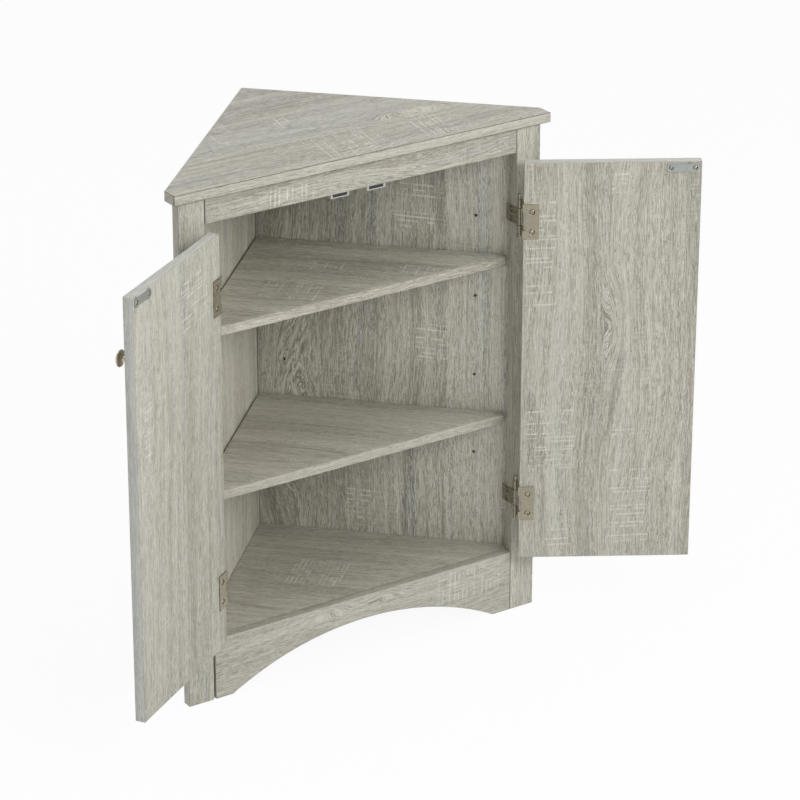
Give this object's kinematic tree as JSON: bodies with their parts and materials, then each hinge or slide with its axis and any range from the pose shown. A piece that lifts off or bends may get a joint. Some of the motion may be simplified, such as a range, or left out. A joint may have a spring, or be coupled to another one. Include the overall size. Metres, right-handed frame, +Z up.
{
  "type": "corner cupboard",
  "caption": "Low triangular corner cupboard with two hinged front doors that meet in the middle, adjustable shelves, an overhanging top and an arched base apron.",
  "frame": {"origin": "on the floor, in the middle of the back corner, where the two side walls meet", "axes": "+X to the cupboard's right-hand side seen from the front, +Y towards the room's corner behind it, +Z up; the front faces -Y"},
  "size_m": [0.976, 0.5033, 0.8],
  "materials": {
    "panel": "matt washed-oak laminate",
    "hinge_metal": "satin bronze nickel",
    "screw_metal": "satin",
    "knob_metal": "polished satin nickel",
    "zinc_steel": "zinc plated",
    "grey_plastic": "moulded",
    "magnet": "sintered ferrite"
  },
  "bodies": {
    "carcass": {"top_panel": "panel", "left_wall": "panel", "right_wall": "panel", "left_stile": "panel", "right_stile": "panel", "top_rail": "panel", "bottom_apron": "panel", "bottom_shelf": "panel", "upper_shelf_support_left_back": "zinc_steel", "upper_shelf_support_left_front": "zinc_steel", "upper_shelf_support_right_back": "zinc_steel", "upper_shelf_support_right_front": "zinc_steel", "lower_shelf_support_left_back": "zinc_steel", "lower_shelf_support_left_front": "zinc_steel", "lower_shelf_support_right_back": "zinc_steel", "lower_shelf_support_right_front": "zinc_steel", "left_catch_housing": "grey_plastic", "left_catch_magnet": "magnet", "right_catch_housing": "grey_plastic", "right_catch_magnet": "magnet", "left_lower_hinge_frame_leaf": "hinge_metal", "left_lower_hinge_pin": "hinge_metal", "left_lower_hinge_frame_screw_1": "screw_metal", "left_lower_hinge_frame_screw_2": "screw_metal", "left_upper_hinge_frame_leaf": "hinge_metal", "left_upper_hinge_pin": "hinge_metal", "left_upper_hinge_frame_screw_1": "screw_metal", "left_upper_hinge_frame_screw_2": "screw_metal", "right_lower_hinge_frame_leaf": "hinge_metal", "right_lower_hinge_pin": "hinge_metal", "right_lower_hinge_frame_screw_1": "screw_metal", "right_lower_hinge_frame_screw_2": "screw_metal", "right_upper_hinge_frame_leaf": "hinge_metal", "right_upper_hinge_pin": "hinge_metal", "right_upper_hinge_frame_screw_1": "screw_metal", "right_upper_hinge_frame_screw_2": "screw_metal"},
    "left_door_assembly": {"left_door": "panel", "left_knob": "knob_metal", "left_strike_plate": "zinc_steel", "left_strike_screw_1": "screw_metal", "left_strike_screw_2": "screw_metal", "left_lower_hinge_door_leaf": "hinge_metal", "left_lower_hinge_door_screw_1": "screw_metal", "left_lower_hinge_door_screw_2": "screw_metal", "left_upper_hinge_door_leaf": "hinge_metal", "left_upper_hinge_door_screw_1": "screw_metal", "left_upper_hinge_door_screw_2": "screw_metal"},
    "right_door_assembly": {"right_door": "panel", "right_knob": "knob_metal", "right_strike_plate": "zinc_steel", "right_strike_screw_1": "screw_metal", "right_strike_screw_2": "screw_metal", "right_lower_hinge_door_leaf": "hinge_metal", "right_lower_hinge_door_screw_1": "screw_metal", "right_lower_hinge_door_screw_2": "screw_metal", "right_upper_hinge_door_leaf": "hinge_metal", "right_upper_hinge_door_screw_1": "screw_metal", "right_upper_hinge_door_screw_2": "screw_metal"},
    "upper_shelf_board": {"upper_shelf": "panel"},
    "lower_shelf_board": {"lower_shelf": "panel"}
  },
  "joints": [
    {"name": "left_door_swing", "type": "hinge", "parent": "carcass", "child": "left_door_assembly", "pos_m": [-0.26668, -0.31848, 0.4205], "axis": [0, 0, -1], "range_deg": [-147.2, 32.8]},
    {"name": "right_door_swing", "type": "hinge", "parent": "carcass", "child": "right_door_assembly", "pos_m": [0.26668, -0.31848, 0.4205], "axis": [0, 0, 1], "range_deg": [-148.5, 31.5]},
    {"name": "upper_shelf_lift", "type": "slide", "parent": "carcass", "child": "upper_shelf_board", "axis": [0, 0, 1], "range_m": [0, 0.03]},
    {"name": "lower_shelf_lift", "type": "slide", "parent": "carcass", "child": "lower_shelf_board", "axis": [0, 0, 1], "range_m": [0, 0.03]}
  ]
}
